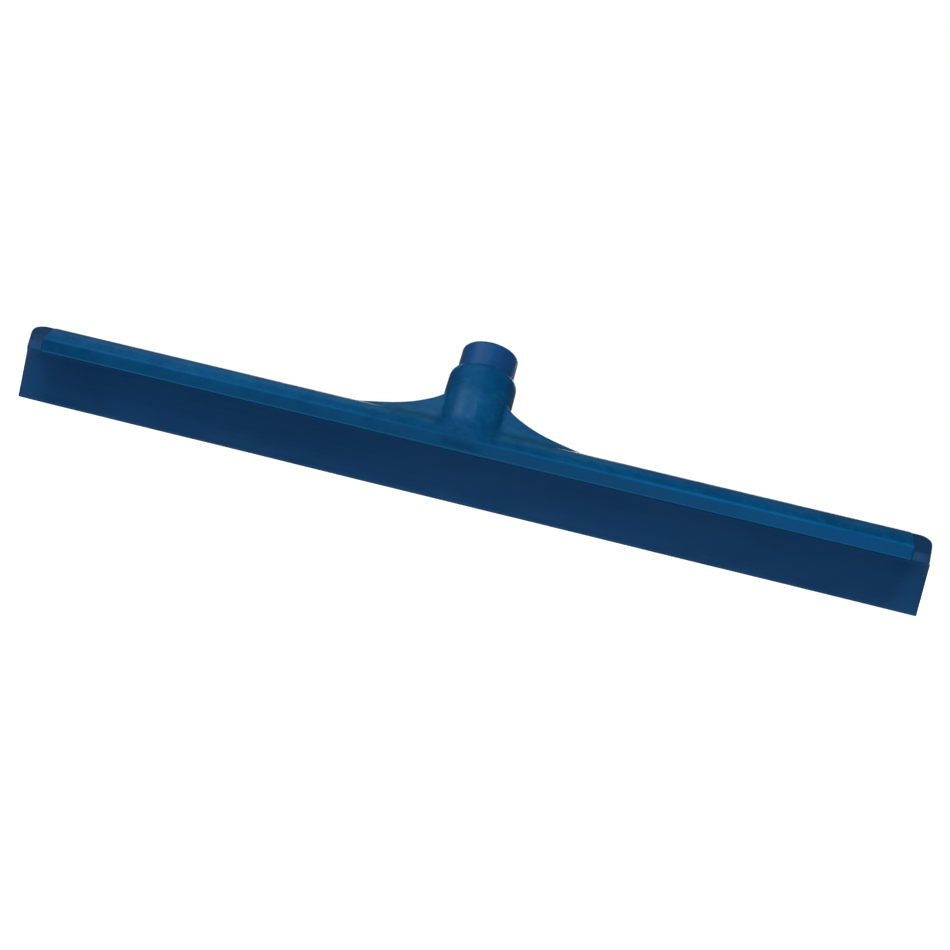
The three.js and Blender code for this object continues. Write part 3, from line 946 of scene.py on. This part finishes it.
def show_by_ray(tree, output, lit, seen):
    """Give the camera one shader and every other ray another."""
    choice = add_node(tree, "MixShader")
    is_camera = add_node(tree, "LightPath").outputs["Is Camera Ray"]
    for i, socket in enumerate((is_camera, lit.outputs[0], seen.outputs[0])):
        tree.links.new(socket, choice.inputs[i])
    tree.links.new(choice.outputs[0], add_node(tree, output).inputs[0])


def make_world():
    world = bpy.data.worlds.new("studio")
    scene.world = world
    tree = empty_tree(world)
    seen = add_node(tree, "Background", Color=(1, 1, 1, 1), Strength=1.0)
    lit = add_node(tree, "Background", Color=(0.95, 0.98, 1, 1), Strength=0.17)
    show_by_ray(tree, "OutputWorld", lit, seen)


def make_floor(half=30.0, z=-0.0006):
    """A pale floor that glows for the camera only."""
    mesh = bpy.data.meshes.new("floor")
    mesh.from_pydata([(-half, -half, z), (half, -half, z), (half, half, z), (-half, half, z)],
                     [], [(0, 1, 2, 3)])
    floor = bpy.data.objects.new("floor", mesh)
    scene.collection.objects.link(floor)
    material = bpy.data.materials.new("pale_floor")
    tree = empty_tree(material)
    diffuse = add_node(tree, "BsdfDiffuse", Color=(0.86, 0.86, 0.86, 1))
    glow = add_node(tree, "Emission", Color=(1, 1, 1, 1), Strength=0.88)
    both = add_node(tree, "AddShader")
    tree.links.new(diffuse.outputs[0], both.inputs[0])
    tree.links.new(glow.outputs[0], both.inputs[1])
    show_by_ray(tree, "OutputMaterial", diffuse, both)
    mesh.materials.append(material)


def add_light(name, location, target, size, power):
    light = bpy.data.lights.new(name, "AREA")
    light.shape = "RECTANGLE"
    light.size, light.size_y = size
    light.energy = power
    lamp = bpy.data.objects.new(name, light)
    scene.collection.objects.link(lamp)
    lamp.location = location
    aim = Vector(target) - Vector(location)
    lamp.rotation_euler = aim.to_track_quat("-Z", "Y").to_euler()


# name, location, target, size (m), power (W)
LIGHTS = [
    ("front", (0.20, -1.42, 0.165), (0.03, 0, 0.04), (1.3, 0.25), 17.2),
    ("top", (-0.38, -0.52, 1.02), (-0.08, 0, 0.05), (0.9, 0.5), 5.0),
    ("top_left", (-0.66, -0.30, 0.70), (-0.16, 0, 0.05), (0.45, 0.3), 1.9),
    ("strip", (0.04, -0.84, 0.94), (0, 0, 0.07), (0.04, 0.40), 1.3),
    ("back", (0.02, 1.42, 0.50), (0, 0, 0.05), (1.3, 0.4), 10.5),
]


def make_camera(azimuth, elevation, roll, distance, target, lens):
    """Look at target from the front, swung towards +x by azimuth; angles in degrees."""
    azimuth, elevation, roll = map(math.radians, (azimuth, elevation, roll))
    look = Vector((-math.sin(azimuth) * math.cos(elevation),
                   math.cos(azimuth) * math.cos(elevation), -math.sin(elevation)))
    level = Vector((math.cos(azimuth), math.sin(azimuth), 0))
    upright = level.cross(look)
    right = level * math.cos(roll) + upright * math.sin(roll)
    up = -level * math.sin(roll) + upright * math.cos(roll)
    place = Vector(target) - look * distance
    data = bpy.data.cameras.new("camera")
    camera = bpy.data.objects.new("camera", data)
    scene.collection.objects.link(camera)
    data.sensor_width = 36
    data.lens = lens
    data.clip_start = 0.01
    camera.matrix_world = Matrix((*zip(right, up, -look, place), (0, 0, 0, 1)))
    scene.camera = camera


make_world()
make_floor()
for light_settings in LIGHTS:
    add_light(*light_settings)
make_camera(azimuth=4.5, elevation=2.0, roll=13.46, distance=0.620,
            target=(0.01160, 0, 0.02090), lens=36.356211)
